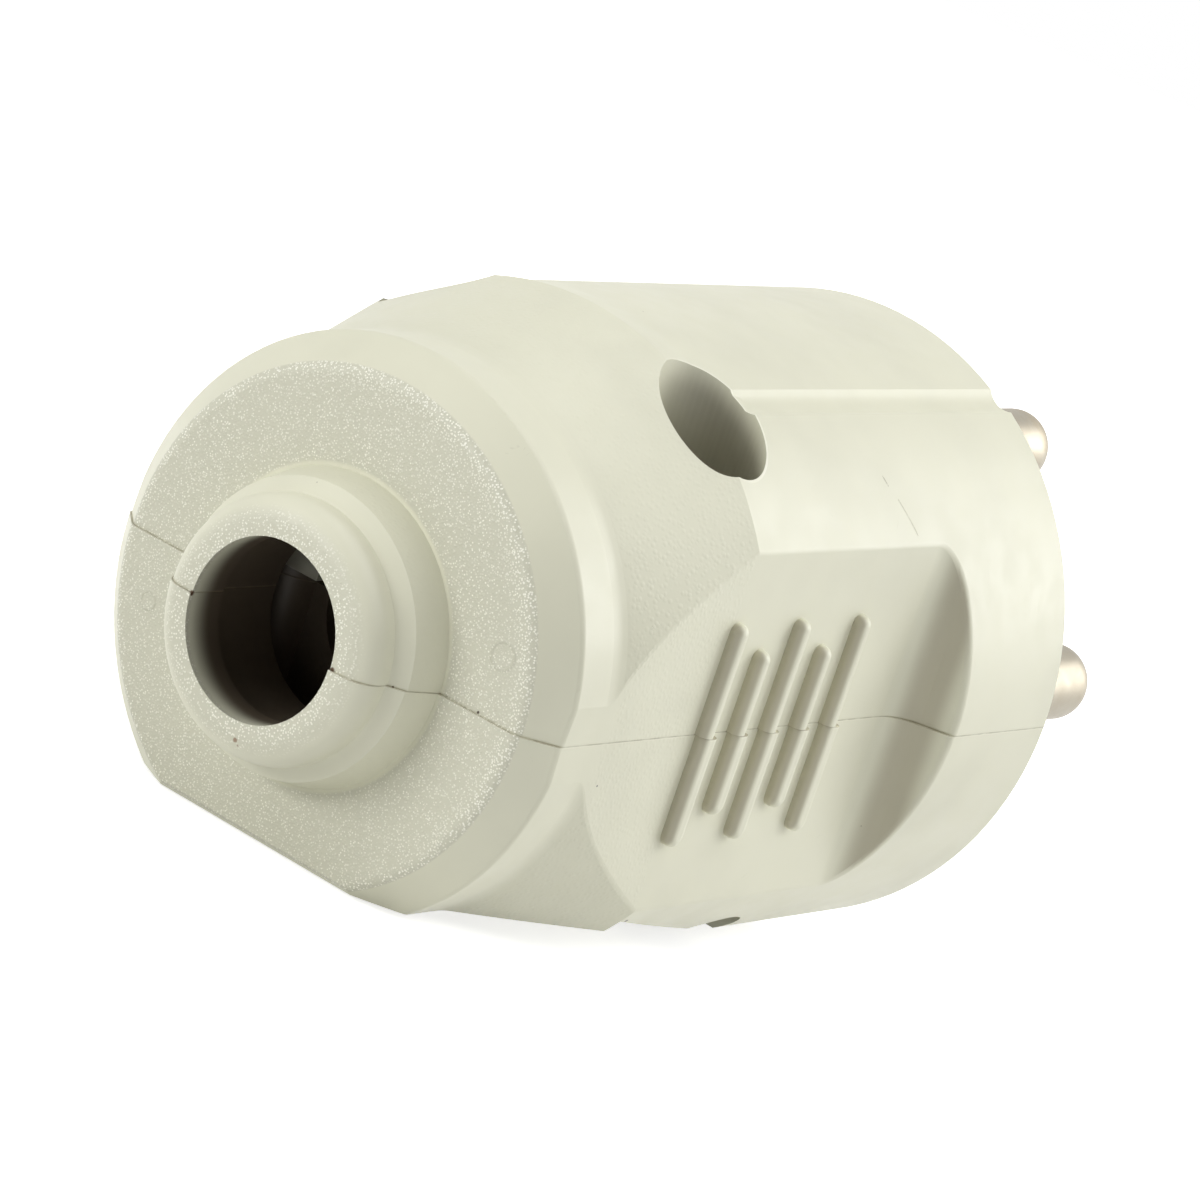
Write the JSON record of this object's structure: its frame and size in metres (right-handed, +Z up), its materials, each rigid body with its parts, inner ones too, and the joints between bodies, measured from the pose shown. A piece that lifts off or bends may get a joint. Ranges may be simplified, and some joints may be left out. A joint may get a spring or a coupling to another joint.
{
  "type": "three-pin plug",
  "caption": "Rewirable round-pin mains plug: two moulded shells, scooped grip sides with raised ribs, a cord neck, and earthed pins of unequal length.",
  "frame": {"origin": "centre of the engagement face, the flat front face that the three pins stand on", "axes": "the plug lies as it rests on a table, on the rear edge of its flat and on its front rim: +Z is up, +X points to the pin tips with the plug's own axis rising 8.043 degrees above +X, and +Y is to the left of someone who looks along +X"},
  "size_m": [0.0717, 0.038, 0.0376],
  "materials": {
    "casing_plastic": "warm grey-ivory moulded plastic, spark-eroded grain at the rear and satin elsewhere",
    "clamp_plastic": "plain moulded plastic",
    "plated_brass": "nickel-plated, turned and lightly polished",
    "plated_steel": "zinc-plated"
  },
  "bodies": {
    "root": {"upper_shell": "casing_plastic", "lower_shell": "casing_plastic", "cord_clamp": "clamp_plastic", "live_pin": "plated_brass", "neutral_pin": "plated_brass", "earth_pin": "plated_brass", "live_clamp_plate": "plated_steel", "neutral_clamp_plate": "plated_steel", "earth_clamp_plate": "plated_steel", "live_terminal_screw": "plated_steel", "neutral_terminal_screw": "plated_steel", "earth_terminal_screw": "plated_steel", "right_clamp_screw": "plated_steel", "left_clamp_screw": "plated_steel", "rear_right_casing_screw": "plated_steel", "rear_left_casing_screw": "plated_steel", "front_right_casing_screw": "plated_steel", "front_left_casing_screw": "plated_steel", "rear_right_casing_nut": "plated_steel", "rear_left_casing_nut": "plated_steel", "front_right_casing_nut": "plated_steel", "front_left_casing_nut": "plated_steel"}
  },
  "joints": []
}
